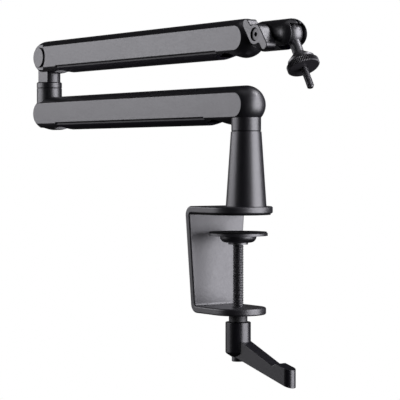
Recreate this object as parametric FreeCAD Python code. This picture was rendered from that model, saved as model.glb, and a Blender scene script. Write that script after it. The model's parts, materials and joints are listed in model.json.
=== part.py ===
import FreeCAD, Part
import math
import os

# A low microphone boom arm on a desk clamp, folded, in millimetres.
# The origin is on the riser's axis, on the face that rests on the desk, with +Z up.
# The arms lie along X, with the elbow at -X, and the clamp opens towards +X.

# Fits and gaps
overrun = 1.0
press_gap = 0.02
running_gap = 0.05
face_gap = 0.10
clear_gap = 0.30

# Arm bars
arm_reach = 360.0
arm_radius = 17.7
arm_flat_half = 14.0
arm_spacing = 60.0
collar_radius = 13.5

# Cable channel in each bar
channel_half = 8.0
channel_roof = 4.0
channel_start = 25.0
exit_length = 18.0

# Covers of the channels
cover_split = 10.8
cover_start = 37.0
lower_cover_end = 48.0
upper_cover_end = 29.0
cover_half = 12.4
cover_floor = 2.4
cover_rail = 1.6
cover_rail_rise = 4.8
wall_chamfer = 0.9
scoop_depth = 3.0
scoop_half = 15.0
front_scoop_depth = 5.2
front_scoop_half = 19.0
front_scoop_ahead = 9.0

# Clamp bracket
jaw_thick = 6.5
jaw_radius = 31.5
low_jaw_radius = 25.5
jaw_front_margin = 0.7
throat_depth = 33.4
jaw_gap = 85.5
bend_radius = 8.5
rim_radius = 1.5

# Jaw pad
jaw_pad_thick = 1.2
jaw_pad_inset = 1.9
jaw_pad_setback = 6.0

# Riser
riser_height = 67.8
riser_base_radius = 18.5
riser_top_radius = 13.9
riser_bore_radius = 9.6
riser_head = 16.0

# Riser screws
riser_screw_count = 3
riser_screw_circle = 14.0
riser_screw_radius = 2.0
riser_screw_length = 18.0
riser_screw_head_radius = 4.0
riser_screw_head_depth = 2.2

# Base swivel
lower_axis_rise = 24.0
spindle_radius = 6.0
spindle_seat = 20.0
bush_wall = 2.0
bush_flange_radius = 13.0
bush_flange_thick = 0.6
washer_radius = 8.8
washer_thick = 1.5
retainer_shank_radius = 2.5
retainer_shank_length = 12.0
retainer_head_radius = 4.5
retainer_head_height = 4.0
socket_radius = 2.2
socket_depth = 2.4

# Elbow
elbow_seam_rise = 27.0
elbow_bush_length = 24.0
access_radius = 9.4
elbow_ring_height = 5.0
elbow_cone_height = 1.0
tongue_radius = 12.7
tongue_half = 8.0
stub_radius = 4.0
stub_length = 17.0
fork_round_gap = 0.6
fork_wall = 14.6
friction_radius = 11.2
friction_thick = 0.8
pin_radius = 4.0
pin_cap_radius = 10.6
pin_cap_thick = 2.3
pin_cap_fillet = 0.5
cheek_half = 11.6
cheek_step_radius = 15.0
nut_socket_radius = 3.4
nut_socket_depth = 1.4

# Head stub
head_face = 15.4
head_stub_radius = 5.0
head_bush_length = 15.0
head_neck_radius = 7.9
head_neck_length = 9.2
head_stub_seat = 9.0
head_flange_radius = 8.1
head_cavity_depth = 6.4
head_washer_radius = 6.7

# Head clamp
head_radius = 13.5
head_length = 41.8
head_fillet = 2.6
head_root = 10.6
kerf_half = 1.25
ball_radius = 10.0
neck_radius = 5.0
slot_half = 8.2
slot_top = 8.6
wing_offset = 20.2
wing_seat = 8.5
wing_pocket_radius = 9.0
head_nut_across = 10.0
head_nut_thick = 5.0
head_nut_inset = 1.0

# Wing lever
wing_boss_radius = 8.0
wing_plate_gap = 0.8
wing_thick = 10.0
wing_middle_radius = 9.2
wing_tip_radius = 4.3
wing_tip_distance = 15.7
wing_corner_radius = 3.0
wing_angle = -54.0
wing_recess_radius = 5.9
wing_recess_depth = 6.0
wing_fillet = 0.7
wing_screw_radius = 3.0
wing_screw_head_radius = 5.2
wing_screw_head_height = 4.6

# Ball stud
stud_tilt = 60.0
neck_end = 20.4
bell_end = 26.4
bell_radius = 11.9
bell_rim = 2.2
stud_radius = 3.175
stud_end = 55.2
stud_chamfer = 0.7
relief_radius = 2.6
relief_width = 0.8
bell_sag_share = 0.06

# Thumb nut
thumb_radius = 14.5
thumb_thick = 6.6
thumb_chamfer = 0.9
thumb_bevel = 1.8

# Clamp screw and its bush
screw_radius = 5.0
screw_head_radius = 6.4
screw_head_height = 3.0
thread_bush_radius = 8.5
thread_bush_drop = 6.6
thread_bush_flange = 2.0

# Pressure plate
desk_gap = 15.6
rubber_thick = 1.2
rubber_radius = 26.2
plate_radius = 27.0
plate_thick = 2.3
bowl_radius = 16.7
bowl_foot_radius = 9.4
bowl_depth = 6.0
bowl_cavity_radius = 7.0
bowl_roof = 1.3
retainer_radius = 9.0
retainer_thick = 2.0
retainer_spigot = 1.2

# Clamp lever
hub_radius = 11.6
hub_height = 31.6
hub_cone_run = 5.1
hub_cone_height = 3.4
hub_cone_fillet = 2.5
hub_fillet = 0.8
lever_half = 6.3
lever_turn = 9.0
lever_reach = 63.5
lever_root_drop = 12.4
lever_root_height = 18.6
lever_notch_run = 48.9
lever_notch_drop = 35.7
lever_step_run = 4.5
lever_step_rise = 2.15
lever_tip_drop = 38.3
lever_tip_height = 16.0
nub_radius = 5.8
nub_height = 4.5
nub_fillet = 0.6
nub_shank_radius = 2.6
nub_shank_length = 14.0

# Heights and places that follow
X = FreeCAD.Vector(1, 0, 0)
Y = FreeCAD.Vector(0, 1, 0)
Z = FreeCAD.Vector(0, 0, 1)
full_turn = 360.0
jaw_top = jaw_pad_thick + jaw_thick
low_jaw_top = jaw_pad_thick - jaw_gap
low_jaw_bottom = low_jaw_top - jaw_thick
base_seam = jaw_top + riser_height
seam_gap = bush_flange_thick + face_gap
lower_axis = base_seam + lower_axis_rise
elbow_seam = lower_axis + elbow_seam_rise
upper_axis = lower_axis + arm_spacing
elbow_x = -arm_reach
screw_offset = jaw_radius - riser_base_radius - jaw_front_margin
screw_x = -screw_offset
back_x = screw_x - throat_depth
flat_height = math.sqrt(arm_radius ** 2 - arm_flat_half ** 2)
bush_radius = spindle_radius + bush_wall
fork_half = tongue_half + friction_thick + face_gap
head_start = head_face + bush_flange_thick + face_gap + head_neck_length
ball_x = head_start + head_length
wing_x = head_start + wing_offset


def vec(x, y, z):
    """A point or a direction."""
    return FreeCAD.Vector(x, y, z)


def rod(radius, start, end):
    """A cylinder from one point to another."""
    along = end - start
    return Part.makeCylinder(radius, along.Length, start, along)


def tube(outer, inner, start, end):
    """A hollow cylinder from one point to another."""
    return rod(outer, start, end).cut(rod(inner, start, end))


def block(low, high):
    """A box between two opposite corners."""
    size = high - low
    return Part.makeBox(size.x, size.y, size.z, low)


def turned(edges, centre, axis):
    """A solid of revolution from a closed chain of edges."""
    return Part.Face(Part.Wire(edges)).revolve(centre, axis, full_turn)


def line(start, end):
    """A straight edge."""
    return Part.LineSegment(start, end).toShape()


def arc(start, middle, end):
    """An arc through three points."""
    return Part.Arc(start, middle, end).toShape()


def prism(points, along):
    """A prism from a polygon."""
    return Part.Face(Part.makePolygon(points + points[:1])).extrude(along)


def edges_at(shape, test):
    """The edges whose middle passes a test."""
    return [e for e in shape.Edges if test(e.CenterOfMass, e)]


def socket(radius, depth, mouth, inward):
    """A hexagonal drive socket, pointing inward from its mouth."""
    turn = FreeCAD.Rotation(Z, inward)
    corner_step = full_turn / 6
    corners = []
    for k in range(6):
        angle = math.radians(k * corner_step)
        corners.append(mouth + turn.multVec(vec(radius * math.cos(angle), radius * math.sin(angle), 0)))
    return prism(corners, inward * depth)


def keeper_screw(radius, shank, head_radius, head_height, seat, inward):
    """A cap screw whose head sits on seat and whose shank goes inward."""
    screw = rod(radius, seat, seat + inward * shank)
    screw = screw.fuse(rod(head_radius, seat - inward * head_height, seat))
    mouth = seat - inward * head_height
    return screw.cut(socket(socket_radius, socket_depth, mouth, inward)).removeSplitter()


def flanged_bush(inner, wall, flange_radius, flange_top, length, along):
    """A plain bush, with its flange outside the seat and its sleeve along the given way."""
    seat = flange_top + along * bush_flange_thick
    bush = rod(inner + wall, seat, seat + along * length)
    bush = bush.fuse(rod(flange_radius, flange_top, seat))
    hole = rod(inner, flange_top - along * overrun, seat + along * (length + overrun))
    return bush.cut(hole).removeSplitter()


def scoop(x, axis_height, half, depth):
    """The shallow hollow across a bar's underside where the cable comes out."""
    radius = (half ** 2 + depth ** 2) / (2 * depth)
    centre_z = axis_height - arm_radius + depth - radius
    return rod(radius, vec(x, -arm_radius, centre_z), vec(x, arm_radius, centre_z))


def scoops(axis_height, cover_end):
    """Both scoops of one bar, the larger one at its front."""
    rear = scoop(elbow_x + cover_start, axis_height, scoop_half, scoop_depth)
    front_x = front_scoop_ahead - cover_end
    return rear.fuse(scoop(front_x, axis_height, front_scoop_half, front_scoop_depth))


def bar(axis_height, cover_end):
    """The round bar with two flats, domed ends and a cable channel open below."""
    left = vec(elbow_x - arm_radius, 0, axis_height)
    left_top = vec(elbow_x, 0, axis_height + arm_radius)
    right_top = vec(0, 0, axis_height + arm_radius)
    right = vec(arm_radius, 0, axis_height)
    diagonal = arm_radius * math.cos(math.pi / 4)
    left_mid = vec(elbow_x - diagonal, 0, axis_height + diagonal)
    right_mid = vec(diagonal, 0, axis_height + diagonal)
    outline = [arc(left, left_mid, left_top), line(left_top, right_top)]
    outline += [arc(right_top, right_mid, right), line(right, left)]
    body = turned(outline, left, X)
    reach = arm_radius + overrun
    low = vec(elbow_x - reach, -arm_flat_half, axis_height - reach)
    body = body.common(block(low, vec(reach, arm_flat_half, axis_height + reach)))
    low = vec(elbow_x + channel_start, -channel_half, axis_height - reach)
    body = body.cut(block(low, vec(exit_length - cover_end, channel_half, axis_height + channel_roof)))
    low = vec(elbow_x + cover_start, -reach, axis_height - reach)
    body = body.cut(block(low, vec(-cover_end, reach, axis_height - cover_split)))
    length = arm_reach - cover_start - cover_end
    for side in (-1, 1):
        outer = side * (arm_flat_half + overrun)
        inner = side * (arm_flat_half - wall_chamfer)
        foot = axis_height - cover_split
        corners = [vec(elbow_x + cover_start, inner, foot - overrun)]
        corners += [vec(elbow_x + cover_start, inner, foot)]
        corners += [vec(elbow_x + cover_start, outer, foot + wall_chamfer + overrun)]
        corners += [vec(elbow_x + cover_start, outer, foot - overrun)]
        body = body.cut(prism(corners, X * length))
    return body.cut(scoops(axis_height, cover_end))


def cable_cover(axis_height, cover_end):
    """The cover that closes a bar's underside, with two rails inside the channel."""
    start = elbow_x + cover_start + clear_gap
    end = -cover_end - clear_gap
    top = axis_height - cover_split - clear_gap
    body = rod(arm_radius, vec(start, 0, axis_height), vec(end, 0, axis_height))
    low = vec(start, -cover_half, axis_height - arm_radius - overrun)
    body = body.common(block(low, vec(end, cover_half, top)))
    rail_outer = channel_half - clear_gap
    low = vec(start, -rail_outer, top - overrun)
    rails = block(low, vec(end, rail_outer, top + cover_rail_rise))
    body = body.fuse(rails)
    hollow = rail_outer - cover_rail
    low = vec(start - overrun, -hollow, axis_height - arm_radius + cover_floor)
    body = body.cut(block(low, vec(end + overrun, hollow, axis_height)))
    return body.cut(scoops(axis_height, cover_end)).removeSplitter()


def lower_arm():
    """The lower bar with its collar, its elbow boss and their bores."""
    body = bar(lower_axis, lower_cover_end)
    body = body.fuse(rod(collar_radius, vec(0, 0, base_seam + seam_gap), vec(0, 0, lower_axis)))
    body = body.fuse(rod(collar_radius, vec(elbow_x, 0, lower_axis), vec(elbow_x, 0, elbow_seam)))
    seat_end = base_seam + seam_gap + spindle_seat
    body = body.cut(rod(spindle_radius + press_gap, vec(0, 0, base_seam), vec(0, 0, seat_end)))
    bush_foot = elbow_seam - elbow_bush_length
    bush_top = vec(elbow_x, 0, elbow_seam + overrun)
    body = body.cut(rod(bush_radius + press_gap, vec(elbow_x, 0, bush_foot), bush_top))
    mouth = lower_axis - arm_radius - overrun
    body = body.cut(rod(access_radius, vec(elbow_x, 0, mouth), vec(elbow_x, 0, bush_foot)))
    return body.removeSplitter()


def elbow_post():
    """The post that turns on the elbow boss, with a flat tongue for the fork."""
    foot = elbow_seam + seam_gap
    ring_top = foot + elbow_ring_height
    step = ring_top + elbow_cone_height
    body = rod(collar_radius, vec(elbow_x, 0, foot), vec(elbow_x, 0, ring_top))
    cone = Part.makeCone(collar_radius, tongue_radius, elbow_cone_height, vec(elbow_x, 0, ring_top), Z)
    tongue = rod(tongue_radius, vec(elbow_x, 0, step), vec(elbow_x, 0, upper_axis + tongue_radius))
    low = vec(elbow_x - tongue_radius, -tongue_half, step)
    tongue = tongue.common(block(low, vec(elbow_x + tongue_radius, tongue_half, upper_axis + tongue_radius)))
    crown = rod(tongue_radius, vec(elbow_x, -tongue_half, upper_axis), vec(elbow_x, tongue_half, upper_axis))
    low = vec(elbow_x - tongue_radius, -tongue_half, step)
    crown = crown.fuse(block(low, vec(elbow_x + tongue_radius, tongue_half, upper_axis)))
    body = body.fuse([cone, tongue.common(crown)])
    side = tongue_half + overrun
    pivot = vec(elbow_x, 0, upper_axis)
    body = body.cut(rod(pin_radius + running_gap, pivot - Y * side, pivot + Y * side))
    seat = vec(elbow_x, 0, foot)
    body = body.cut(rod(stub_radius + press_gap, seat - Z * overrun, seat + Z * stub_length))
    return body.removeSplitter()


def fork_slot():
    """The room that the tongue needs in the upper bar, from pointing down to pointing back."""
    round_gap = tongue_radius + fork_round_gap
    reach = arm_radius + overrun
    slot = rod(round_gap, vec(elbow_x, -fork_half, upper_axis), vec(elbow_x, fork_half, upper_axis))
    low = vec(elbow_x - reach, -fork_half, upper_axis - round_gap)
    slot = slot.fuse(block(low, vec(elbow_x, fork_half, upper_axis + round_gap)))
    low = vec(elbow_x - round_gap, -fork_half, upper_axis - reach)
    return slot.fuse(block(low, vec(elbow_x + fork_wall, fork_half, upper_axis)))


def upper_arm():
    """The upper bar with the fork at the elbow and the seat of the head at its domed end."""
    body = bar(upper_axis, upper_cover_end).cut(fork_slot())
    side = arm_flat_half + overrun
    pivot = vec(elbow_x, 0, upper_axis)
    body = body.cut(rod(pin_radius + press_gap, pivot - Y * side, pivot + Y * side))
    for way in (-1, 1):
        floor = vec(elbow_x, way * cheek_half, upper_axis)
        body = body.cut(rod(cheek_step_radius, floor, floor + Y * (way * arm_radius)))
    reach = arm_radius + overrun
    low = vec(head_face, -reach, upper_axis - reach)
    body = body.cut(block(low, vec(reach, reach, upper_axis + reach)))
    bore = head_stub_radius + running_gap + bush_wall + press_gap
    bore_end = head_face - head_bush_length - head_cavity_depth
    body = body.cut(rod(bore, vec(bore_end, 0, upper_axis), vec(head_face + overrun, 0, upper_axis)))
    return body.removeSplitter()


def elbow_pin():
    """The tilt pin, with its flat round cap."""
    seat = vec(elbow_x, -cheek_half, upper_axis)
    pin = rod(pin_radius, seat, vec(elbow_x, cheek_half, upper_axis))
    cap = rod(pin_cap_radius, seat - Y * pin_cap_thick, seat)
    rim = edges_at(cap, lambda c, e: c.y < seat.y - pin_cap_thick / 2 and len(e.Vertexes) == 1)
    cap = cap.makeFillet(pin_cap_fillet, rim)
    return pin.fuse(cap).removeSplitter()


def elbow_nut():
    """The round nut at the other end of the tilt pin, with a drive socket."""
    seat = vec(elbow_x, cheek_half, upper_axis)
    end = seat + Y * pin_cap_thick
    nut = rod(pin_cap_radius, seat, end)
    rim = edges_at(nut, lambda c, e: c.y > seat.y + pin_cap_thick / 2 and len(e.Vertexes) == 1)
    nut = nut.makeFillet(pin_cap_fillet, rim)
    return nut.cut(socket(nut_socket_radius, nut_socket_depth, end, -Y))


def friction_washers():
    """Two discs on the fork's inner faces, beside the tongue."""
    discs = []
    for side in (-1, 1):
        outer = vec(elbow_x, side * fork_half, upper_axis)
        inner = outer - Y * (side * friction_thick)
        discs.append(tube(friction_radius, pin_radius + press_gap, inner, outer))
    return Part.makeCompound(discs)


def plate_section(half, base, up):
    """A section across one plate of the bracket, with round rims; base is in the middle of its inner face."""
    turn = rim_radius * (1 - math.sqrt(1 / 2))
    marks = [(rim_radius - half, 0), (half - rim_radius, 0), (half - turn, turn), (half, rim_radius)]
    marks += [(half, jaw_thick - rim_radius), (half - turn, jaw_thick - turn), (half - rim_radius, jaw_thick)]
    spots = [base + Y * a + up * h for a, h in marks]
    spots += [base - Y * a + up * h for a, h in reversed(marks[1:])]
    edges = [line(spots[0], spots[1]), arc(spots[1], spots[2], spots[3]), line(spots[3], spots[4])]
    edges += [arc(spots[4], spots[5], spots[6]), line(spots[6], spots[7]), arc(spots[7], spots[8], spots[9])]
    edges += [line(spots[9], spots[10]), arc(spots[10], spots[11], spots[12])]
    return Part.Wire(edges)


def jaw_plate(half, base, up):
    """One jaw: a straight plate from the bend to the screw's axis, and its round front."""
    straight = Part.Face(plate_section(half, base, up)).extrude(X * (screw_x - base.x))
    front = vec(screw_x, 0, base.z)
    reach = jaw_thick + overrun
    near_side = block(front - vec(overrun, half + overrun, reach), front + vec(overrun, 0, reach))
    near_half = Part.Face(plate_section(half, front, up)).common(near_side).Faces[0]
    return straight.fuse(near_half.revolve(front, Z, full_turn / 2))


def clamp_bracket():
    """The bent C bracket, wide at the upper jaw and narrower at the lower one, with round rims."""
    bend_x = back_x - jaw_thick + bend_radius
    upper_bend = vec(bend_x, 0, jaw_top - bend_radius)
    lower_bend = vec(bend_x, 0, low_jaw_bottom + bend_radius)
    upper_base = vec(bend_x, 0, jaw_pad_thick)
    lower_base = vec(bend_x, 0, low_jaw_top)
    back_top = plate_section(jaw_radius, vec(back_x, 0, upper_bend.z), -X)
    back_low = plate_section(low_jaw_radius, vec(back_x, 0, lower_bend.z), -X)
    quarter = full_turn / 4
    pieces = [Part.Face(plate_section(jaw_radius, upper_base, Z)).revolve(upper_bend, -Y, quarter)]
    pieces.append(Part.makeLoft([back_top, back_low], True, True))
    pieces.append(Part.Face(back_low).revolve(lower_bend, -Y, quarter))
    pieces.append(jaw_plate(low_jaw_radius, lower_base, -Z))
    return jaw_plate(jaw_radius, upper_base, Z).fuse(pieces).removeSplitter()


def bored_bracket():
    """The bracket with its screw holes."""
    body = clamp_bracket()
    bore = thread_bush_radius - thread_bush_flange
    hole_foot = vec(screw_x, 0, low_jaw_bottom - overrun)
    body = body.cut(rod(bore, hole_foot, vec(screw_x, 0, low_jaw_top + overrun)))
    for place in riser_screw_places():
        body = body.cut(riser_screw_hole(place))
    return body


def riser_screw_places():
    """The centres of the riser's screws, at the underside of the upper jaw."""
    places = []
    for k in range(riser_screw_count):
        angle = math.radians(full_turn * k / riser_screw_count)
        spot = vec(riser_screw_circle * math.cos(angle), riser_screw_circle * math.sin(angle), jaw_pad_thick)
        places.append(spot)
    return places


def riser_screw_hole(place):
    """The countersunk hole of one riser screw."""
    hole = rod(riser_screw_radius + clear_gap, place - Z * overrun, place + Z * (jaw_thick + overrun))
    wide = riser_screw_head_radius + press_gap
    narrow = riser_screw_radius + press_gap
    sink = Part.makeCone(wide, narrow, riser_screw_head_depth, place, Z)
    return hole.fuse(sink)


def riser_screws():
    """Three countersunk screws that hold the riser on the upper jaw."""
    screws = []
    for place in riser_screw_places():
        head = Part.makeCone(riser_screw_head_radius, riser_screw_radius, riser_screw_head_depth, place, Z)
        shank = rod(riser_screw_radius, place + Z * riser_screw_head_depth, place + Z * riser_screw_length)
        screw = head.fuse(shank)
        screws.append(screw.cut(socket(socket_radius, riser_screw_head_depth / 2, place, Z)).removeSplitter())
    return Part.makeCompound(screws)


def jaw_pad():
    """The thin pad under the upper jaw."""
    radius = jaw_radius - jaw_pad_inset
    start = vec(back_x + jaw_pad_setback, -radius, 0)
    pad = block(start, vec(screw_x, radius, jaw_pad_thick))
    pad = pad.fuse(rod(radius, vec(screw_x, 0, 0), vec(screw_x, 0, jaw_pad_thick))).removeSplitter()
    return pad


def riser_post():
    """The flared riser, hollow below, with a thick head that holds the bush."""
    body = Part.makeCone(riser_base_radius, riser_top_radius, riser_height, vec(0, 0, jaw_top), Z)
    body = body.cut(rod(riser_bore_radius, vec(0, 0, jaw_top - overrun), vec(0, 0, base_seam - riser_head)))
    bush_foot = vec(0, 0, base_seam - riser_head)
    body = body.cut(rod(bush_radius + press_gap, bush_foot, vec(0, 0, base_seam + overrun)))
    for place in riser_screw_places():
        tip = place + Z * (riser_screw_length + clear_gap)
        body = body.cut(rod(riser_screw_radius + press_gap, place, tip))
    return body


def base_spindle():
    """The lower arm's spindle, which turns in the riser's bush."""
    foot = base_seam - riser_head - face_gap
    return rod(spindle_radius, vec(0, 0, foot), vec(0, 0, base_seam + seam_gap + spindle_seat))


def spindle_with_hole(spindle, seat, inward):
    """A spindle drilled for its keeper screw."""
    hole = rod(retainer_shank_radius + press_gap, seat, seat + inward * (retainer_shank_length + clear_gap))
    return spindle.cut(hole)


def washer_at(radius, seat, away):
    """A keeper washer that lies against seat and is as thick as it goes away from it."""
    return tube(radius, retainer_shank_radius + press_gap, seat, seat + away * washer_thick)


def keeper_at(seat, away):
    """A keeper screw under a washer that lies against seat."""
    under = seat + away * washer_thick
    length = washer_thick + retainer_shank_length
    head = retainer_head_radius
    return keeper_screw(retainer_shank_radius, length, head, retainer_head_height, under, -away)


def elbow_spindle():
    """The elbow post's spindle, with a thinner stub in the post."""
    foot = elbow_seam - elbow_bush_length - face_gap
    shoulder = elbow_seam + seam_gap
    body = rod(spindle_radius, vec(elbow_x, 0, foot), vec(elbow_x, 0, shoulder))
    return body.fuse(rod(stub_radius, vec(elbow_x, 0, shoulder), vec(elbow_x, 0, shoulder + stub_length)))


def head_spindle():
    """The stub that carries the head, with a wider neck between the arm and the head."""
    inner = head_face - head_bush_length - face_gap
    neck = head_start - head_neck_length
    body = rod(head_stub_radius, vec(inner, 0, upper_axis), vec(head_start + head_stub_seat, 0, upper_axis))
    body = body.fuse(rod(head_neck_radius, vec(neck, 0, upper_axis), vec(head_start, 0, upper_axis)))
    return body.removeSplitter()


def head_body():
    """The split clamp: a round block with a domed end, a ball socket and a slot for the neck."""
    start = vec(head_start, 0, upper_axis)
    ball = vec(ball_x, 0, upper_axis)
    body = rod(head_radius, start, ball)
    rim = edges_at(body, lambda c, e: c.x < head_start + overrun and len(e.Vertexes) == 1)
    body = body.makeFillet(head_fillet, rim)
    body = body.fuse(Part.makeSphere(head_radius, ball))
    body = body.cut(Part.makeSphere(ball_radius + clear_gap, ball))
    reach = head_radius + overrun
    low = vec(ball_x - slot_half, -slot_half, upper_axis - reach)
    body = body.cut(block(low, vec(ball_x + reach, slot_half, upper_axis + slot_top)))
    low = vec(head_start + head_root, -kerf_half, upper_axis - reach)
    body = body.cut(block(low, vec(ball_x + reach, kerf_half, upper_axis + reach)))
    seat_end = start + X * (head_stub_seat + clear_gap)
    body = body.cut(rod(head_stub_radius + press_gap, start - X * overrun, seat_end))
    pocket = vec(wing_x, -wing_seat, upper_axis)
    body = body.cut(rod(wing_pocket_radius, pocket - Y * reach, pocket))
    through = wing_screw_radius + clear_gap
    body = body.cut(rod(through, vec(wing_x, -reach, upper_axis), vec(wing_x, reach, upper_axis)))
    body = body.cut(hexagon(head_nut_across / 2 + press_gap, head_nut_seat(), reach))
    return body.removeSplitter()


def head_nut_seat():
    """The inner face of the captive nut's pocket."""
    return vec(wing_x, head_radius - head_nut_inset - head_nut_thick, upper_axis)


def hexagon(flat_radius, seat, height):
    """A hexagonal prism along Y."""
    corner = flat_radius / math.cos(math.pi / 6)
    corners = []
    for k in range(6):
        angle = k * math.pi / 3
        corners.append(seat + vec(corner * math.cos(angle), 0, corner * math.sin(angle)))
    return prism(corners, Y * height)


def head_nut():
    """The captive nut of the wing screw."""
    seat = head_nut_seat()
    nut = hexagon(head_nut_across / 2, seat, head_nut_thick)
    hole_end = seat + Y * (head_nut_thick + overrun)
    return nut.cut(rod(wing_screw_radius + running_gap, seat - Y * overrun, hole_end))


def wing_outline():
    """The lever's outline in the XZ plane: a round middle and two arms that leave it on opposite sides."""
    turn = FreeCAD.Rotation(Y, -wing_angle)
    inner = wing_middle_radius - 2 * wing_tip_radius
    reach = wing_middle_radius + wing_corner_radius
    drop = inner - wing_corner_radius
    corner = vec(math.sqrt(reach ** 2 - drop ** 2), 0, drop)
    on_middle = corner * (wing_middle_radius / reach)
    on_arm = vec(corner.x, 0, inner)
    inward = (on_middle - corner + on_arm - corner).normalize()
    below = vec(on_middle.x, 0, on_middle.z - wing_middle_radius).normalize() * wing_middle_radius
    tip_side = vec(wing_tip_distance, 0, wing_middle_radius)
    tip_end = vec(wing_tip_distance + wing_tip_radius, 0, wing_middle_radius - wing_tip_radius)
    half = [Z * wing_middle_radius, tip_side, tip_end, vec(wing_tip_distance, 0, inner), on_arm]
    half += [corner + inward * wing_corner_radius, on_middle, below]
    hub = vec(wing_x, 0, upper_axis)
    edges = []
    for way in (1, -1):
        spots = [turn.multVec(p * way) + hub for p in half + [-half[0]]]
        edges += [line(spots[0], spots[1]), arc(spots[1], spots[2], spots[3]), line(spots[3], spots[4])]
        edges += [arc(spots[4], spots[5], spots[6]), arc(spots[6], spots[7], spots[8])]
    return Part.Face(Part.Wire(edges))


def wing_near_face():
    """The distance of the lever's near face from the head's axis."""
    return head_radius + wing_plate_gap + wing_thick


def wing_lever():
    """The two-lobed lever, with a boss behind it and a recess for the screw's head."""
    near = wing_near_face()
    plate = wing_outline()
    plate.translate(Y * -near)
    plate = plate.extrude(Y * wing_thick)
    rim = edges_at(plate, lambda c, e: c.y < overrun - near)
    plate = plate.makeFillet(wing_fillet, rim)
    hub = vec(wing_x, 0, upper_axis)
    seat = hub - Y * (wing_seat + face_gap)
    body = plate.fuse(rod(wing_boss_radius, hub - Y * (near - wing_thick), seat))
    body = body.cut(rod(wing_recess_radius, hub - Y * (near + overrun), hub - Y * (near - wing_recess_depth)))
    return body.cut(rod(wing_screw_radius + press_gap, hub - Y * near, hub)).removeSplitter()


def wing_screw():
    """The cap screw in the lever's recess, which pulls the split clamp together."""
    hub = vec(wing_x, 0, upper_axis)
    seat = hub - Y * (wing_near_face() - wing_recess_depth)
    end = head_nut_seat() + Y * head_nut_thick
    screw = rod(wing_screw_radius, seat, end)
    head = rod(wing_screw_head_radius, seat - Y * wing_screw_head_height, seat)
    screw = screw.fuse(head)
    mouth = seat - Y * wing_screw_head_height
    return screw.cut(socket(socket_radius, socket_depth, mouth, Y)).removeSplitter()


def tilted(shape):
    """Turns a piece made along X at the ball's centre to the stud's resting angle, and puts it there."""
    shape.rotate(vec(0, 0, 0), Y, stud_tilt)
    shape.translate(vec(ball_x, 0, upper_axis))
    return shape


def ball_stud():
    """The ball, its neck, the bell-shaped flange and the threaded stud, in one piece."""
    neck_x = math.sqrt(ball_radius ** 2 - neck_radius ** 2)
    ball_back = vec(-ball_radius, 0, 0)
    ball_top = vec(0, 0, ball_radius)
    neck_foot = vec(neck_x, 0, neck_radius)
    neck_top = vec(neck_end, 0, neck_radius)
    bell_edge = vec(bell_end, 0, bell_radius)
    rim_edge = vec(bell_end + bell_rim, 0, bell_radius)
    rim_foot = vec(bell_end + bell_rim, 0, stud_radius)
    relief_start = bell_end + bell_rim + face_gap + thumb_thick
    relief_end = relief_start + relief_width
    groove = [vec(relief_start, 0, stud_radius), vec(relief_start, 0, relief_radius)]
    groove += [vec(relief_end, 0, relief_radius), vec(relief_end, 0, stud_radius)]
    chamfer_top = vec(stud_end - stud_chamfer, 0, stud_radius)
    tip_edge = vec(stud_end, 0, stud_radius - stud_chamfer)
    tip = vec(stud_end, 0, 0)
    chord = bell_edge - neck_top
    bulge = vec(-chord.z, 0, chord.x) * (bell_sag_share / 2)
    bell_mid = (neck_top + bell_edge) * (1 / 2) + bulge
    edges = [arc(ball_back, ball_top, neck_foot), line(neck_foot, neck_top)]
    edges += [arc(neck_top, bell_mid, bell_edge), line(bell_edge, rim_edge), line(rim_edge, rim_foot)]
    corners = [rim_foot] + groove + [chamfer_top, tip_edge, tip, ball_back]
    edges += [line(first, second) for first, second in zip(corners, corners[1:])]
    return tilted(turned(edges, vec(0, 0, 0), X))


def thumb_nut():
    """The round nut under the bell, which locks what is screwed on the stud."""
    start = bell_end + bell_rim + face_gap
    end = start + thumb_thick
    inner = stud_radius + running_gap
    points = [vec(start, 0, inner), vec(start, 0, thumb_radius - thumb_bevel)]
    points += [vec(start + thumb_bevel, 0, thumb_radius), vec(end - thumb_chamfer, 0, thumb_radius)]
    points += [vec(end, 0, thumb_radius - thumb_chamfer), vec(end, 0, inner)]
    face = Part.Face(Part.makePolygon(points + points[:1]))
    return tilted(face.revolve(vec(0, 0, 0), X, full_turn))


def plate_top():
    """The height of the pressure plate's steel disc."""
    return -desk_gap - rubber_thick


def bowl_foot():
    """The height of the bowl's lower end."""
    return plate_top() - plate_thick - bowl_depth


def pressure_plate():
    """The thin disc with a bowl-shaped hub round the spindle's head."""
    top = plate_top()
    under = top - plate_thick
    foot = bowl_foot()
    axis_top = vec(screw_x, 0, top)
    rim_top = vec(screw_x + plate_radius, 0, top)
    rim_low = vec(screw_x + plate_radius, 0, under)
    bowl_top = vec(screw_x + bowl_radius, 0, under)
    bowl_low = vec(screw_x + bowl_foot_radius, 0, foot)
    bulge = (bowl_radius - bowl_foot_radius) / 4
    bowl_mid = vec(screw_x + (bowl_radius + bowl_foot_radius) / 2 + bulge, 0, (under + foot) / 2 - bulge)
    axis_low = vec(screw_x, 0, foot)
    edges = [line(axis_top, rim_top), line(rim_top, rim_low), line(rim_low, bowl_top)]
    edges += [arc(bowl_top, bowl_mid, bowl_low), line(bowl_low, axis_low), line(axis_low, axis_top)]
    body = turned(edges, axis_top, Z)
    cavity_top = under - bowl_roof
    return body.cut(rod(bowl_cavity_radius, vec(screw_x, 0, foot - overrun), vec(screw_x, 0, cavity_top)))


def screw_retainer():
    """The collar under the bowl that keeps the spindle's head in."""
    foot = bowl_foot()
    inner = screw_radius + clear_gap
    body = tube(retainer_radius, inner, vec(screw_x, 0, foot - retainer_thick), vec(screw_x, 0, foot))
    spigot = bowl_cavity_radius - press_gap
    body = body.fuse(tube(spigot, inner, vec(screw_x, 0, foot), vec(screw_x, 0, foot + retainer_spigot)))
    return body.removeSplitter()


def pressure_rubber():
    """The thin pad on the pressure plate."""
    return rod(rubber_radius, vec(screw_x, 0, plate_top()), vec(screw_x, 0, -desk_gap))


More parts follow.
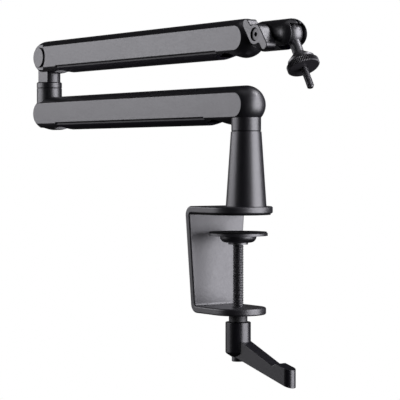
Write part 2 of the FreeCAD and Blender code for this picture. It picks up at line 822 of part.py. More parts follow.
def thread_bush():
    """The threaded bush in the lower jaw, with its wide part below."""
    foot = low_jaw_bottom - thread_bush_drop
    inner = screw_radius + running_gap
    body = tube(thread_bush_radius, inner, vec(screw_x, 0, foot), vec(screw_x, 0, low_jaw_bottom))
    sleeve = thread_bush_radius - thread_bush_flange - press_gap
    body = body.fuse(tube(sleeve, inner, vec(screw_x, 0, low_jaw_bottom), vec(screw_x, 0, low_jaw_top)))
    return body.removeSplitter()


def hub_top():
    """The height of the lever's hub, just under the threaded bush."""
    return low_jaw_bottom - thread_bush_drop - clear_gap


def clamp_screw():
    """The long spindle, with a head that turns in the bowl."""
    head_top = plate_top() - plate_thick - bowl_roof - face_gap
    head_low = head_top - screw_head_height
    foot = hub_top() - hub_height
    body = rod(screw_head_radius, vec(screw_x, 0, head_low), vec(screw_x, 0, head_top))
    body = body.fuse(rod(screw_radius, vec(screw_x, 0, foot), vec(screw_x, 0, head_low)))
    hole_top = vec(screw_x, 0, foot + nub_shank_length + clear_gap)
    hole = rod(nub_shank_radius + press_gap, vec(screw_x, 0, foot), hole_top)
    return body.cut(hole).removeSplitter()


def clamp_lever():
    """The cranked lever: a round hub and a tapered arm that slopes down to a blunt tip."""
    top = hub_top()
    foot = top - hub_height
    shoulder = foot + hub_cone_height
    hub = Part.makeCone(hub_radius - hub_cone_run, hub_radius, hub_cone_height, vec(screw_x, 0, foot), Z)
    hub = hub.fuse(rod(hub_radius, vec(screw_x, 0, shoulder), vec(screw_x, 0, top))).removeSplitter()
    low_rim = edges_at(hub, lambda c, e: abs(c.z - shoulder) < hub_fillet and len(e.Vertexes) == 1)
    hub = hub.makeFillet(hub_cone_fillet, low_rim)
    high_rim = edges_at(hub, lambda c, e: c.z > top - overrun and len(e.Vertexes) == 1)
    hub = hub.makeFillet(hub_fillet, high_rim)
    end = lever_reach + lever_half
    notch_end = lever_notch_run + lever_step_run
    notch_end_drop = lever_notch_drop - lever_step_rise
    slope = (lever_tip_drop - notch_end_drop) / (end - notch_end)
    tip_low = lever_tip_drop + lever_tip_height
    outline = [vec(0, 0, top - lever_root_drop), vec(lever_notch_run, 0, top - lever_notch_drop)]
    end_drop = notch_end_drop + slope * (end - notch_end)
    outline += [vec(notch_end, 0, top - notch_end_drop), vec(end, 0, top - end_drop)]
    outline += [vec(end, 0, top - tip_low), vec(0, 0, top - lever_root_drop - lever_root_height)]
    arm = prism([p - Y * lever_half for p in outline], Y * (2 * lever_half))
    low = top - tip_low - overrun
    plan = rod(lever_half, vec(lever_reach, 0, low), vec(lever_reach, 0, top))
    plan = plan.fuse(block(vec(0, -lever_half, low), vec(lever_reach, lever_half, top)))
    arm = arm.common(plan)
    arm.rotate(vec(0, 0, 0), Z, lever_turn)
    arm.translate(X * screw_x)
    floor = block(vec(screw_x - hub_radius, -hub_radius, low), vec(screw_x + hub_radius, hub_radius, foot))
    under_hub = floor.common(rod(nub_radius + clear_gap, vec(screw_x, 0, low), vec(screw_x, 0, foot)))
    body = hub.fuse(arm.cut(under_hub))
    bore = screw_radius + press_gap
    hole = rod(bore, vec(screw_x, 0, foot - overrun), vec(screw_x, 0, top + overrun))
    return body.cut(hole).removeSplitter()


def lever_screw():
    """The round-headed screw that holds the lever on the spindle."""
    seat = vec(screw_x, 0, hub_top() - hub_height)
    head = rod(nub_radius, seat - Z * nub_height, seat)
    rim = edges_at(head, lambda c, e: c.z < seat.z - nub_height / 2 and len(e.Vertexes) == 1)
    head = head.makeFillet(nub_fillet, rim)
    body = head.fuse(rod(nub_shank_radius, seat, seat + Z * nub_shank_length))
    return body.cut(socket(socket_radius, socket_depth, seat - Z * nub_height, Z)).removeSplitter()


def base_pieces():
    """The pieces between the riser and the lower arm."""
    flange_top = vec(0, 0, base_seam + bush_flange_thick)
    inner = spindle_radius + running_gap
    seat = vec(0, 0, base_seam - riser_head - face_gap)
    wall = bush_wall - running_gap
    return {
        "base_bush": flanged_bush(inner, wall, bush_flange_radius, flange_top, riser_head, -Z),
        "base_spindle": spindle_with_hole(base_spindle(), seat, Z),
        "base_washer": washer_at(washer_radius, seat, -Z),
        "base_screw": keeper_at(seat, -Z),
    }


def elbow_pieces():
    """The pieces between the lower arm and the elbow post."""
    flange_top = vec(elbow_x, 0, elbow_seam + bush_flange_thick)
    inner = spindle_radius + running_gap
    seat = vec(elbow_x, 0, elbow_seam - elbow_bush_length - face_gap)
    wall = bush_wall - running_gap
    return {
        "elbow_bush": flanged_bush(inner, wall, bush_flange_radius, flange_top, elbow_bush_length, -Z),
        "elbow_spindle": spindle_with_hole(elbow_spindle(), seat, Z),
        "elbow_washer": washer_at(washer_radius, seat, -Z),
        "elbow_screw": keeper_at(seat, -Z),
    }


def head_pieces():
    """The pieces between the upper arm and the head."""
    flange_top = vec(head_face + bush_flange_thick, 0, upper_axis)
    inner = head_stub_radius + running_gap
    seat = vec(head_face - head_bush_length - face_gap, 0, upper_axis)
    return {
        "head_bush": flanged_bush(inner, bush_wall, head_flange_radius, flange_top, head_bush_length, -X),
        "head_spindle": spindle_with_hole(head_spindle(), seat, X),
        "head_washer": washer_at(head_washer_radius, seat, -X),
        "head_screw": keeper_at(seat, -X),
    }


def all_pieces():
    """Every piece by its name."""
    pieces = {
        "clamp_bracket": bored_bracket(),
        "jaw_pad": jaw_pad(),
        "riser_post": riser_post(),
        "riser_screws": riser_screws(),
        "threaded_bush": thread_bush(),
        "pressure_plate": pressure_plate(),
        "pressure_rubber": pressure_rubber(),
        "screw_retainer": screw_retainer(),
        "clamp_screw": clamp_screw(),
        "clamp_lever": clamp_lever(),
        "lever_screw": lever_screw(),
        "lower_arm": lower_arm(),
        "lower_cable_cover": cable_cover(lower_axis, lower_cover_end),
        "elbow_post": elbow_post(),
        "upper_arm": upper_arm(),
        "upper_cable_cover": cable_cover(upper_axis, upper_cover_end),
        "elbow_pin": elbow_pin(),
        "elbow_nut": elbow_nut(),
        "friction_washers": friction_washers(),
        "head_body": head_body(),
        "head_nut": head_nut(),
        "wing_lever": wing_lever(),
        "wing_screw": wing_screw(),
        "ball_stud": ball_stud(),
        "thumb_nut": thumb_nut(),
    }
    pieces.update(base_pieces())
    pieces.update(elbow_pieces())
    pieces.update(head_pieces())
    return pieces


os.makedirs("parts", exist_ok=True)
for name, shape in all_pieces().items():
    box = shape.BoundBox
    print(name, "solids", len(shape.Solids), "valid", shape.isValid(), "volume", round(shape.Volume, 1))
    print("   from", round(box.XMin, 2), round(box.YMin, 2), round(box.ZMin, 2))
    print("   to", round(box.XMax, 2), round(box.YMax, 2), round(box.ZMax, 2))
    shape.exportStep(os.path.join("parts", name + ".step"))
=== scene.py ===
"""A folded microphone boom arm on its desk clamp, dressed and lit for a studio picture."""

from __future__ import annotations

import json
import logging
import math
from dataclasses import dataclass, replace
from enum import Enum

import bmesh
import bpy
from mathutils import Matrix, Vector

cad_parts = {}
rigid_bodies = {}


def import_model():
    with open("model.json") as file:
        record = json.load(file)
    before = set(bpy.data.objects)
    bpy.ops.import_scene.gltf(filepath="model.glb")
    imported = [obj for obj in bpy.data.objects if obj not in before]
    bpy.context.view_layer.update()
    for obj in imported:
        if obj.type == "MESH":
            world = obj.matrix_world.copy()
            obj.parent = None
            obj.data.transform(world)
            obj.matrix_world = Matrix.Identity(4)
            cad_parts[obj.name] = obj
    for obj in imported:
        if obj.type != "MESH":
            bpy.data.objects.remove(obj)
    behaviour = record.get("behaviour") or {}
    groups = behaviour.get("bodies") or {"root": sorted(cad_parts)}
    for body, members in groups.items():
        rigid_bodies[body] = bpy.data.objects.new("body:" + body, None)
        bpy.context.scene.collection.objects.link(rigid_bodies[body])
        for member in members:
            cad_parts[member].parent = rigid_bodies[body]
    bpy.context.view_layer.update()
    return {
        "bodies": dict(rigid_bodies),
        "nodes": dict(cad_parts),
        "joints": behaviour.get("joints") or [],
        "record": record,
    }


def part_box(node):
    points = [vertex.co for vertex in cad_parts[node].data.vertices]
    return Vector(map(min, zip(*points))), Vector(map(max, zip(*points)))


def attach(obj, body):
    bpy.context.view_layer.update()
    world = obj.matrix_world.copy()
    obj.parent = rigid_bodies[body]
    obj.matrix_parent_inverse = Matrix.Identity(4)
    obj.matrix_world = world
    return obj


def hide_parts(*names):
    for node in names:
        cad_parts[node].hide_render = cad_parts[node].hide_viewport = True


LOG = logging.getLogger("boom_arm")
MM = 0.001
INCH = 25.4 * MM
FULL_TURN = 2 * math.pi
SHARP_EDGE = math.radians(35)
SHARP_TOOTH = math.radians(25)
MERGE_DISTANCE = 1e-7
WHITE = (1.0, 1.0, 1.0, 1.0)
Number = float | int


class Slot(Enum):
    """The record's material slots."""

    COAT = "black_anodised"
    POWDER = "black_powder_coat"
    COVER = "cover_plastic"
    STEEL = "black_oxide_steel"
    BEARING = "bearing_plastic"
    RUBBER = "pad_rubber"


class Value:
    """A shader socket that takes part in Python arithmetic."""

    def __init__(self, shader: Shader, socket: bpy.types.NodeSocket) -> None:
        """Wraps a socket.

        Args:
            shader: the material or world that the socket belongs to.
            socket: an output socket that gives one number.
        """
        self.shader = shader
        self.socket = socket

    def _math(self, operation: str, other: Value | Number) -> Value:
        """Adds one Math node with self as its first operand.

        Args:
            operation: the node's operation.
            other: its second operand.

        Returns:
            The node's result.
        """
        made = self.shader.node("ShaderNodeMath", {"operation": operation}, {0: self, 1: other})
        return Value(self.shader, made.outputs[0])

    def __add__(self, other: Value | Number) -> Value:
        """Self plus other."""
        return self._math("ADD", other)

    def __mul__(self, other: Value | Number) -> Value:
        """Self times other."""
        return self._math("MULTIPLY", other)

    def maximum(self, other: Value | Number) -> Value:
        """The larger of self and other."""
        return self._math("MAXIMUM", other)

    def minimum(self, other: Value | Number) -> Value:
        """The smaller of self and other."""
        return self._math("MINIMUM", other)

    def above(self, other: Value | Number) -> Value:
        """1 where self is the larger, otherwise 0."""
        return self._math("GREATER_THAN", other)


class Shader:
    """A node tree under construction."""

    def __init__(self, tree: bpy.types.NodeTree) -> None:
        """Clears a tree.

        Args:
            tree: the tree to fill.
        """
        self.tree = tree
        tree.nodes.clear()

    def node(self, kind: str, settings: dict[str, object] | None = None,
             inputs: dict[str | int, object] | None = None) -> bpy.types.Node:
        """Adds one node.

        Args:
            kind: the node's type.
            settings: the node's own settings, set first.
            inputs: a value or a link for each socket.

        Returns:
            The new node.
        """
        made = self.tree.nodes.new(kind)
        for name, setting in (settings or {}).items():
            setattr(made, name, setting)
        for name, given in (inputs or {}).items():
            socket = made.inputs[name]
            if isinstance(given, Value):
                self.tree.links.new(given.socket, socket)
            elif isinstance(given, bpy.types.NodeSocket):
                self.tree.links.new(given, socket)
            else:
                socket.default_value = given
        return made

    def value(self, kind: str, output: str, settings: dict[str, object] | None = None,
              inputs: dict[str | int, object] | None = None) -> Value:
        """Adds one node and wraps one of its outputs.

        Args:
            kind: the node's type.
            output: the output's name.
            settings: the node's own settings.
            inputs: a value or a link for each socket.

        Returns:
            The wrapped output.
        """
        return Value(self, self.node(kind, settings, inputs).outputs[output])

    def vector(self, operation: str, *operands: object) -> bpy.types.NodeSocket:
        """Adds one Vector Math node.

        Args:
            operation: the node's operation.
            operands: a vector or a link for each of its inputs.

        Returns:
            The resulting vector.
        """
        made = self.node("ShaderNodeVectorMath", {"operation": operation}, dict(enumerate(operands)))
        return made.outputs["Vector"]


@dataclass(frozen=True)
class Finish:
    """A satin or matt black finish: its colour, its gloss, its fine grain and its soft edges.

    Sizes are in metres. Inside the painted shade box, if there is one, the finish has no gloss, which
    paints shade there.
    """

    name: str
    colour: tuple[float, float, float]
    roughness: float
    specular: float
    grain: float
    relief: float
    edge: float
    ior: float = 1.5
    mottle_share: float = 0.12
    patch_gloss: float = 0.02
    grain_gloss: float = 0.12
    patch: float = 30 * MM
    patch_detail: float = 3.0
    grain_detail: float = 2.0
    edge_samples: int = 8
    gloss_tint: tuple[float, float, float, float] = (0.94, 0.925, 1.0, 1.0)
    painted_shade_box: tuple[Vector, Vector] | None = None

    def material(self) -> bpy.types.Material:
        """Builds the finish once.

        Returns:
            The material.
        """
        known = bpy.data.materials.get(self.name)
        if known:
            return known
        material = bpy.data.materials.new(self.name)
        material.use_nodes = True
        shader = Shader(material.node_tree)
        place = shader.node("ShaderNodeTexCoord").outputs["Object"]
        patches = self._noise(shader, place, self.patch, self.patch_detail)
        grain = self._noise(shader, place, self.grain, self.grain_detail)
        even_roughness = self.roughness - self.patch_gloss - self.grain_gloss
        rounded = shader.node("ShaderNodeBevel", {"samples": self.edge_samples}, {"Radius": self.edge})
        bump = shader.node("ShaderNodeBump", None, {
            "Strength": 1.0, "Distance": self.relief, "Height": grain, "Normal": rounded.outputs["Normal"]})
        surface = shader.node("ShaderNodeBsdfPrincipled", None, {
            "Base Color": self._mottled(shader, patches),
            "Roughness": patches * (2 * self.patch_gloss) + grain * (2 * self.grain_gloss) + even_roughness,
            "IOR": self.ior,
            "Specular IOR Level": self.specular,
            "Specular Tint": self.gloss_tint,
            "Normal": bump.outputs["Normal"],
        })
        look = surface.outputs["BSDF"]
        # Painted shade: inside the box the gloss is taken off, so the surface there renders dark.
        if self.painted_shade_box:
            look = self._painted_shade(shader, place, look)
        shader.node("ShaderNodeOutputMaterial", None, {"Surface": look})
        return material

    def _mottled(self, shader: Shader, patches: Value) -> bpy.types.NodeSocket:
        """Makes the colour a little darker and lighter in patches.

        Args:
            shader: the material.
            patches: the slow noise.

        Returns:
            The colour.
        """
        mix = shader.node("ShaderNodeMix", {"data_type": "RGBA"}, {"Factor": patches})
        ends = [socket for socket in mix.inputs if socket.type == "RGBA"]
        for socket, share in zip(ends, (1 - self.mottle_share, 1 + self.mottle_share)):
            socket.default_value = [channel * share for channel in self.colour] + [1.0]
        return next(socket for socket in mix.outputs if socket.type == "RGBA")

    def _painted_shade(self, shader: Shader, place: bpy.types.NodeSocket,
                glossy: bpy.types.NodeSocket) -> bpy.types.NodeSocket:
        """Paints shade into what lies in the box: takes the gloss off it, so that it renders dark.

        Args:
            shader: the material.
            place: the coordinates.
            glossy: the finish outside the box.

        Returns:
            The mixed surface.
        """
        low, high = self.painted_shade_box
        apart = shader.vector("ABSOLUTE", shader.vector("SUBTRACT", place, (low + high) / 2))
        spare = shader.vector("SUBTRACT", (high - low) / 2, apart)
        room = shader.node("ShaderNodeSeparateXYZ", None, {"Vector": spare})
        inside = Value(shader, room.outputs["X"])
        for axis in "YZ":
            inside = inside.minimum(Value(shader, room.outputs[axis]))
        # The painted shade: the finish's own colour with no gloss at all.
        painted_shade_surface = shader.node("ShaderNodeBsdfPrincipled", None, {
            "Base Color": (*self.colour, 1.0), "Roughness": 1.0, "Specular IOR Level": 0.0})
        mixed = shader.node("ShaderNodeMixShader", None, {
            0: inside.above(0.0), 1: glossy, 2: painted_shade_surface.outputs["BSDF"]})
        return mixed.outputs["Shader"]

    @staticmethod
    def _noise(shader: Shader, place: bpy.types.NodeSocket, size: float, detail: float) -> Value:
        """Adds a noise texture.

        Args:
            shader: the material.
            place: the coordinates.
            size: how large its features are.
            detail: how fine it goes.

        Returns:
            The noise, about 0 to 1.
        """
        inputs = {"Vector": place, "Scale": 1 / size, "Detail": detail}
        return shader.value("ShaderNodeTexNoise", "Fac", {"noise_dimensions": "3D"}, inputs)


SATIN_COAT = Finish(
    "satin_coat", colour=(0.0034, 0.0029, 0.0066), roughness=0.40, specular=0.9, ior=1.77,
    grain=1.3 * MM, relief=0.014 * MM, edge=0.5 * MM)
KNURL_COAT = replace(
    SATIN_COAT, name="knurl_coat", colour=(0.034, 0.032, 0.039), roughness=0.45, specular=0.5,
    edge=0.06 * MM)
LEVER_COAT = replace(SATIN_COAT, name="lever_coat", roughness=0.34, specular=0.68)
POWDER_COAT = Finish(
    "powder_coat", colour=(0.0040, 0.0035, 0.0070), roughness=0.42, specular=0.9, ior=1.77,
    grain=1.6 * MM, relief=0.026 * MM, edge=0.4 * MM, grain_gloss=0.10)
MATT_COVER = Finish(
    "matt_cover", colour=(0.0145, 0.0125, 0.0225), roughness=0.50, specular=0.4,
    grain=0.4 * MM, relief=0.010 * MM, edge=0.4 * MM)
BLACK_OXIDE = Finish(
    "black_oxide", colour=(0.0036, 0.0032, 0.0058), roughness=0.44, specular=1.0, ior=2.0,
    grain=0.3 * MM, relief=0.003 * MM, edge=0.12 * MM)
DULL_OXIDE = Finish(
    "dull_oxide", colour=(0.0110, 0.0105, 0.0125), roughness=0.55, specular=0.7, ior=1.77,
    grain=0.3 * MM, relief=0.004 * MM, edge=0.2 * MM)
BOLT_OXIDE = replace(DULL_OXIDE, name="bolt_oxide", roughness=0.44, specular=0.9)
PLAIN_BEARING = Finish(
    "plain_bearing", colour=(0.005, 0.005, 0.006), roughness=0.50, specular=0.3,
    grain=0.4 * MM, relief=0.004 * MM, edge=0.2 * MM)
MATT_RUBBER = Finish(
    "matt_rubber", colour=(0.007, 0.007, 0.008), roughness=0.80, specular=0.2,
    grain=0.6 * MM, relief=0.03 * MM, edge=0.3 * MM)
SLOT_FINISH = {
    Slot.COAT: SATIN_COAT,
    Slot.POWDER: POWDER_COAT,
    Slot.COVER: MATT_COVER,
    Slot.STEEL: BLACK_OXIDE,
    Slot.BEARING: PLAIN_BEARING,
    Slot.RUBBER: MATT_RUBBER,
}
NODE_FINISH = {"wing_screw": BOLT_OXIDE, "threaded_bush": DULL_OXIDE, "clamp_lever": LEVER_COAT}


def new_piece(name: str, mesh: bmesh.types.BMesh, finish: Finish, smooth_angle: float) -> bpy.types.Object:
    """Makes an object at the origin from a bmesh, and frees the bmesh.

    Args:
        name: the piece's name.
        mesh: its mesh, in place.
        finish: what it is dressed in.
        smooth_angle: edges sharper than this stay sharp, in radians.

    Returns:
        The new object.
    """
    bmesh.ops.recalc_face_normals(mesh, faces=mesh.faces)
    for face in mesh.faces:
        face.smooth = True
    for edge in mesh.edges:
        edge.smooth = edge.calc_face_angle(0.0) < smooth_angle
    data = bpy.data.meshes.new(name)
    mesh.to_mesh(data)
    mesh.free()
    piece = bpy.data.objects.new(name, data)
    bpy.context.scene.collection.objects.link(piece)
    data.materials.append(finish.material())
    return piece


def lathe(mesh: bmesh.types.BMesh, profile: list[tuple[float, float]], place: Matrix,
          steps: int) -> list[bmesh.types.BMVert]:
    """Turns a profile about a local Z axis.

    Args:
        mesh: the bmesh that takes the result.
        profile: radius and height of each point, either from end to end on the axis or as a closed loop.
        place: the local frame.
        steps: facets in a full turn.

    Returns:
        The new vertices.
    """
    known = set(mesh.verts)
    points = [mesh.verts.new((radius, 0.0, height)) for radius, height in profile]
    edges = [mesh.edges.new(pair) for pair in zip(points, points[1:])]
    bmesh.ops.spin(mesh, geom=points + edges, cent=(0, 0, 0), axis=(0, 0, 1), angle=FULL_TURN, steps=steps,
                   use_merge=True)
    fresh = [vert for vert in mesh.verts if vert not in known]
    bmesh.ops.remove_doubles(mesh, verts=fresh, dist=MERGE_DISTANCE)
    fresh = [vert for vert in mesh.verts if vert not in known]
    bmesh.ops.transform(mesh, matrix=place, verts=fresh)
    return fresh


def arc(radius: float, first: float, last: float, steps: int) -> list[tuple[float, float]]:
    """Points of an arc about the origin of a profile.

    Args:
        radius: the arc's radius.
        first: its first angle from the radial direction, in radians.
        last: its last angle.
        steps: how many steps it has.

    Returns:
        Radius and height of each point.
    """
    angles = [first + (last - first) * k / steps for k in range(steps + 1)]
    return [(radius * math.cos(angle), radius * math.sin(angle)) for angle in angles]


def joint_named(frame: dict, name: str) -> dict:
    """Finds a joint of the frame by its name."""
    return next(joint for joint in frame["joints"] if joint["name"] == name)


@dataclass
class Thread:
    """A right-hand thread ridge round a local Z axis. Sizes are in metres, shares are of the pitch."""

    radius: float
    pitch: float
    depth_share: float = 0.6
    crest_share: float = 0.18
    flank_share: float = 0.40
    steps: int = 28

    @property
    def depth(self) -> float:
        """The height of the ridge over the core."""
        return self.depth_share * self.pitch

    @property
    def root(self) -> float:
        """The radius of the core under the ridge."""
        return self.radius - self.depth

    def add(self, mesh: bmesh.types.BMesh, place: Matrix, start: float, end: float) -> None:
        """Adds the ridge as one closed strip, with its foot sunk in the core.

        Args:
            mesh: the bmesh that takes it.
            place: the local frame.
            start: the height where it begins.
            end: the height where it stops.
        """
        known = set(mesh.verts)
        foot = self.root - self.depth / 2
        crest_end = self.flank_share + self.crest_share
        width_share = crest_end + self.flank_share
        outline = [(foot, 0.0), (self.root, 0.0), (self.radius, self.flank_share), (self.radius, crest_end),
                   (self.root, width_share), (foot, width_share)]
        points = [mesh.verts.new((radius, 0.0, start + share * self.pitch)) for radius, share in outline]
        face = mesh.faces.new(points)
        turns = (end - start) / self.pitch - width_share
        count = max(1, round(turns * self.steps))
        geometry = points + list(face.edges) + [face]
        bmesh.ops.spin(mesh, geom=geometry, cent=(0, 0, 0), axis=(0, 0, 1), angle=turns * FULL_TURN,
                       steps=count, dvec=(0, 0, turns * self.pitch / count))
        fresh = [vert for vert in mesh.verts if vert not in known]
        bmesh.ops.transform(mesh, matrix=place, verts=fresh)


@dataclass
class ClampSpindle:
    """The long clamp screw with its real thread. Sizes are in metres."""

    pitch: float = 1.5 * MM
    radius: float = 5.0 * MM
    head_height: float = 3.0 * MM
    plain_end: float = 2.0 * MM
    edge: float = 0.4 * MM
    steps: int = 64

    def build(self) -> bpy.types.Object:
        """Makes the spindle, which stands for the plain CAD one.

        Returns:
            The piece.
        """
        low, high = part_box("clamp_screw")
        centre = (low + high) / 2
        head_radius = (high.x - low.x) / 2
        head_low = high.z - self.head_height
        thread = Thread(self.radius, self.pitch)
        core = thread.root
        profile = [(0.0, low.z), (core, low.z), (core, head_low), (head_radius - self.edge, head_low),
                   (head_radius, head_low + self.edge), (head_radius, high.z - self.edge),
                   (head_radius - self.edge, high.z), (0.0, high.z)]
        place = Matrix.Translation((centre.x, centre.y, 0.0))
        thread_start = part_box("threaded_bush")[0].z
        mesh = bmesh.new()
        lathe(mesh, profile, place, self.steps)
        thread.add(mesh, place, thread_start, head_low - self.plain_end)
        piece = new_piece("clamp_screw_threaded", mesh, BLACK_OXIDE, SHARP_EDGE)
        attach(piece, "screw_and_lever")
        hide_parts("clamp_screw")
        return piece


@dataclass
class StudEnd:
    """The ball stud with its thread, and the knurled ring nut on it. Sizes are in metres."""

    ball: float = 10.0 * MM
    ball_steps: int = 40
    neck: float = 5.0 * MM
    neck_end: float = 20.4 * MM
    bell_end: float = 26.4 * MM
    bell: float = 11.9 * MM
    bell_rim: float = 2.2 * MM
    stud: float = 3.175 * MM
    stud_end: float = 55.2 * MM
    threads_per_inch: int = 20
    soft: float = 0.5 * MM
    nut_gap: float = 0.1 * MM
    nut_thick: float = 6.6 * MM
    nut_radius: float = 14.5 * MM
    nut_chamfer: float = 0.9 * MM
    nut_bevel: float = 1.8 * MM
    relief: float = 2.6 * MM
    relief_width: float = 0.8 * MM
    tooth_depth: float = 0.70 * MM
    teeth: int = 60
    tooth_steps: int = 4
    steps: int = 96

    @property
    def rim_end(self) -> float:
        """Where the bell's rim ends, along the stud."""
        return self.bell_end + self.bell_rim

    @property
    def nut_start(self) -> float:
        """Where the ring nut begins, along the stud."""
        return self.rim_end + self.nut_gap

    @property
    def nut_end(self) -> float:
        """Where the ring nut ends, along the stud."""
        return self.nut_start + self.nut_thick

    def place(self, frame: dict) -> Matrix:
        """The stud's frame: its Z axis runs from the ball's centre along the stud.

        Args:
            frame: the loaded frame.

        Returns:
            The frame's matrix.
        """
        centre = Vector(joint_named(frame, "ball_swing")["pos_m"])
        along = Vector(joint_named(frame, "nut_turn")["axis"])
        return Matrix.Translation(centre) @ along.to_track_quat("Z", "Y").to_matrix().to_4x4()

    def build_stud(self, frame: dict) -> bpy.types.Object:
        """Makes the ball, the neck, the bell and the threaded stud.

        Args:
            frame: the loaded frame.

        Returns:
            The piece.
        """
        place = self.place(frame)
        thread = Thread(self.stud, INCH / self.threads_per_inch)
        soft = self.soft
        rim = self.rim_end
        relief_end = self.nut_end + self.relief_width
        profile = arc(self.ball, -math.pi / 2, math.acos(self.neck / self.ball), self.ball_steps)
        profile[0] = (0.0, -self.ball)
        profile += [(self.neck, self.neck_end - soft), (self.neck + soft / 2, self.neck_end)]
        profile += [(self.neck + 2 * soft, self.neck_end + soft)]
        profile += [(self.bell - soft / 2, self.bell_end - soft / 2), (self.bell, self.bell_end)]
        profile += [(self.bell, rim - soft), (self.bell - soft, rim)]
        profile += [(self.relief, rim), (self.relief, relief_end), (thread.root, relief_end)]
        profile += [(thread.root, self.stud_end - soft), (thread.root - soft, self.stud_end)]
        profile += [(0.0, self.stud_end)]
        mesh = bmesh.new()
        lathe(mesh, profile, place, self.steps)
        thread.add(mesh, place, relief_end, self.stud_end - soft / 2)
        piece = new_piece("ball_stud_threaded", mesh, BLACK_OXIDE, SHARP_EDGE)
        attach(piece, "stud")
        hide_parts("ball_stud")
        return piece

    def build_nut(self, frame: dict) -> bpy.types.Object:
        """Makes the ring nut with its straight knurl.

        Args:
            frame: the loaded frame.

        Returns:
            The piece.
        """
        start, end = self.nut_start, self.nut_end
        inner = self.stud + self.nut_gap / 2
        outer = self.nut_radius
        bevelled = outer - self.nut_bevel
        profile = [(inner, start), (bevelled - self.soft, start), (bevelled, start + self.soft / 2)]
        profile += [(outer, start + self.nut_bevel), (outer, end - self.nut_chamfer)]
        profile += [(outer - self.nut_chamfer, end), (inner, end), (inner, start)]
        mesh = bmesh.new()
        self.cut_teeth(lathe(mesh, profile, Matrix.Identity(4), self.teeth * self.tooth_steps))
        bmesh.ops.transform(mesh, matrix=self.place(frame), verts=mesh.verts)
        piece = new_piece("ring_nut_knurled", mesh, KNURL_COAT, SHARP_TOOTH)
        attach(piece, "ring_nut")
        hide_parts("thumb_nut")
        return piece

    def cut_teeth(self, verts: list[bmesh.types.BMVert]) -> None:
        """Moves the nut's rim inward between its teeth.

        Args:
            verts: the nut's vertices, about a local Z axis.
        """
        step = FULL_TURN / self.teeth
        for vert in verts:
            radius = math.hypot(vert.co.x, vert.co.y)
            if radius > self.nut_radius - self.nut_chamfer / 2:
                phase = math.atan2(vert.co.y, vert.co.x) / step
                height_share = abs(phase - round(phase)) * 2
                factor = (radius - self.tooth_depth * (1 - height_share)) / radius
                vert.co.x *= factor
                vert.co.y *= factor


@dataclass
class BallHead:
    """The split head that grips the ball. Sizes are in metres."""

    slot_half: float = 8.2 * MM
    slot_drop: float = 20.0 * MM
    skin: float = 0.5 * MM

    def coat(self, frame: dict) -> Finish:
        """The satin coat with painted shade on the back wall of the slot that the stud's neck swings in:
        there it has no gloss and renders dark.

        Args:
            frame: the loaded frame.

        Returns:
            The finish.
        """
        ball = Vector(joint_named(frame, "ball_swing")["pos_m"])
        side = self.slot_half + self.skin
        low = ball - Vector((side, side, self.slot_drop))
        high = ball + Vector((self.skin - self.slot_half, side, self.slot_half))
        # The painted shade box: a thin slab on the slot's back wall.
        return replace(SATIN_COAT, name="head_coat_painted_shade", painted_shade_box=(low, high))


def dress_nodes(frame: dict) -> None:
    """Gives each CAD node its finish.

    Args:
        frame: the loaded frame.
    """
    # The head body's coat carries painted shade on the back wall of its slot.
    node_finish = {**NODE_FINISH, "head_body": BallHead().coat(frame)}
    for row in frame["record"]["subparts"]:
        node = frame["nodes"][row["node"]]
        finish = node_finish.get(row["node"], SLOT_FINISH[Slot(row["material_slot"])])
        node.data.materials.clear()
        node.data.materials.append(finish.material())
        LOG.info("dressed %s in %s", row["node"], finish.name)


@dataclass(frozen=True)
class Softbox:
    """A rectangular studio lamp. Sizes are in metres, radiance is relative to white."""

    name: str
    place: tuple[float, float, float]
    target: tuple[float, float, float]
    width: float
    height: float
    radiance: float

    def build(self) -> None:
        """Hangs the lamp."""
        data = bpy.data.lights.new(self.name, "AREA")
        data.shape = "RECTANGLE"
        data.size = self.width
        data.size_y = self.height
        data.energy = self.radiance * math.pi * self.width * self.height
        lamp = bpy.data.objects.new(self.name, data)
        lamp.location = self.place
        way = Vector(self.target) - Vector(self.place)
        lamp.rotation_euler = way.to_track_quat("-Z", "Y").to_euler()
        lamp.visible_camera = False
        bpy.context.scene.collection.objects.link(lamp)


SOFTBOXES = (
    Softbox("softbox_left", place=(-1.09, -1.02, 0.36), target=(-0.10, 0.0, 0.20),
            width=1.58, height=0.60, radiance=2.35),
    Softbox("softbox_low", place=(-1.17, -0.93, -0.35), target=(-0.05, 0.0, -0.05),
            width=1.34, height=0.70, radiance=0.5),
    Softbox("softbox_right", place=(1.18, 0.80, 0.30), target=(0.0, 0.0, 0.15),
            width=1.60, height=1.8, radiance=3.5),
    Softbox("softbox_rear", place=(0.42, 0.92, 1.25), target=(0.04, 0.0, 0.16),
            width=0.50, height=0.50, radiance=9.0),
    Softbox("softbox_top", place=(-0.1, -0.1, 1.6), target=(-0.1, 0.0, 0.1),
            width=1.2, height=0.7, radiance=0.5),
)


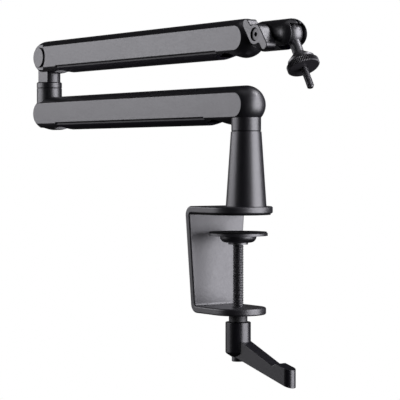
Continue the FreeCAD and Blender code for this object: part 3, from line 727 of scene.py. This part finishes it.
@dataclass
class Studio:
    """The floor, the pale backdrop, the lamps and the camera. Sizes are in metres, angles in degrees."""

    floor_height: float = -0.73
    floor_radius: float = 1.9
    floor_fade_share: float = 0.55
    floor_glow_share: float = 0.5
    floor_grey: float = 0.86
    floor_steps: int = 96
    room_light: float = 0.01
    backdrop_edge: float = 0.90
    backdrop_gloss: float = 0.12
    focal_px: float = 1710.0
    frame_px: float = 400.0
    sensor_mm: float = 36.0
    camera_place: tuple[float, float, float] = (1.2508, -0.9103, 0.04975)
    view_azimuth: float = 145.5
    view_pitch: float = -1.34

    def view_way(self, pitch: float) -> Vector:
        """A direction at the camera's azimuth.

        Args:
            pitch: how far it rises, in degrees.

        Returns:
            The direction, 1 long.
        """
        azimuth = math.radians(self.view_azimuth)
        rise = math.radians(pitch)
        level = math.cos(rise)
        return Vector((math.cos(azimuth) * level, math.sin(azimuth) * level, math.sin(rise)))

    def build_camera(self) -> None:
        """Sets up the photograph's viewpoint."""
        data = bpy.data.cameras.new("camera")
        data.sensor_width = self.sensor_mm
        data.lens = self.focal_px / self.frame_px * self.sensor_mm
        camera = bpy.data.objects.new("camera", data)
        camera.location = self.camera_place
        camera.rotation_euler = self.view_way(self.view_pitch).to_track_quat("-Z", "Y").to_euler()
        bpy.context.scene.collection.objects.link(camera)
        bpy.context.scene.camera = camera

    def build_world(self) -> None:
        """A dim room that is white to the camera, with a backdrop that shows faintly in the gloss."""
        world = bpy.data.worlds.new("studio")
        world.use_nodes = True
        bpy.context.scene.world = world
        shader = Shader(world.node_tree)
        place = shader.node("ShaderNodeTexCoord").outputs["Generated"]
        facing = shader.value("ShaderNodeVectorMath", "Value", {"operation": "DOT_PRODUCT"}, {
            0: place, 1: self.view_way(0.0)})
        behind = shader.value("ShaderNodeMapRange", "Result", {"interpolation_type": "SMOOTHSTEP"}, {
            "Value": facing, "From Min": self.backdrop_edge, "From Max": 1.0})
        path = shader.node("ShaderNodeLightPath")
        camera = Value(shader, path.outputs["Is Camera Ray"])
        glossy = Value(shader, path.outputs["Is Glossy Ray"])
        pale = camera.maximum(glossy * behind * self.backdrop_gloss)
        strength = pale * (1.0 - self.room_light) + self.room_light
        light = shader.node("ShaderNodeBackground", None, {"Color": WHITE, "Strength": strength})
        shader.node("ShaderNodeOutputWorld", None, {"Surface": light.outputs["Background"]})

    def floor_paper(self) -> bpy.types.Material:
        """Pale paper that fades out at the floor's rim and can be seen through from below.

        Returns:
            The material.
        """
        material = bpy.data.materials.new("floor_paper")
        material.use_nodes = True
        shader = Shader(material.node_tree)
        place = shader.node("ShaderNodeTexCoord").outputs["Object"]
        flat = shader.vector("MULTIPLY", place, (1, 1, 0))
        reach = shader.value("ShaderNodeVectorMath", "Value", {"operation": "LENGTH"}, {0: flat})
        fade = shader.value("ShaderNodeMapRange", "Result", {"interpolation_type": "SMOOTHSTEP"}, {
            "Value": reach, "From Min": self.floor_radius * self.floor_fade_share,
            "From Max": self.floor_radius})
        back = shader.value("ShaderNodeNewGeometry", "Backfacing")
        paper = shader.node("ShaderNodeBsdfDiffuse", None, {"Color": (*[self.floor_grey] * 3, 1.0)})
        glow = shader.node("ShaderNodeEmission", None, {"Color": WHITE, "Strength": 1.0})
        lit = shader.node("ShaderNodeMixShader", None, {
            0: self.floor_glow_share, 1: paper.outputs["BSDF"], 2: glow.outputs["Emission"]})
        clear = shader.node("ShaderNodeBsdfTransparent")
        mixed = shader.node("ShaderNodeMixShader", None, {
            0: fade.maximum(back), 1: lit.outputs["Shader"], 2: clear.outputs["BSDF"]})
        shader.node("ShaderNodeOutputMaterial", None, {"Surface": mixed.outputs["Shader"]})
        return material

    def build_floor(self) -> None:
        """Lays a round floor that takes shadows but doesn't light the object."""
        mesh = bmesh.new()
        bmesh.ops.create_circle(mesh, cap_ends=True, segments=self.floor_steps, radius=self.floor_radius)
        bmesh.ops.translate(mesh, vec=(0, 0, self.floor_height), verts=mesh.verts)
        data = bpy.data.meshes.new("floor")
        mesh.to_mesh(data)
        mesh.free()
        data.materials.append(self.floor_paper())
        floor = bpy.data.objects.new("floor", data)
        bpy.context.scene.collection.objects.link(floor)
        floor.visible_diffuse = False
        floor.visible_glossy = False

    def build(self) -> None:
        """Sets up everything round the object."""
        self.build_camera()
        self.build_world()
        self.build_floor()
        for softbox in SOFTBOXES:
            softbox.build()
        bpy.context.scene.view_settings.view_transform = "Standard"


def main() -> None:
    logging.basicConfig(level=logging.INFO, format="%(message)s")
    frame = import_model()
    dress_nodes(frame)
    stud = StudEnd()
    for piece in (ClampSpindle().build(), stud.build_stud(frame), stud.build_nut(frame)):
        LOG.info("made %s with %d faces", piece.name, len(piece.data.polygons))
    Studio().build()
    bpy.context.view_layer.update()


if __name__ == "__main__":
    main()
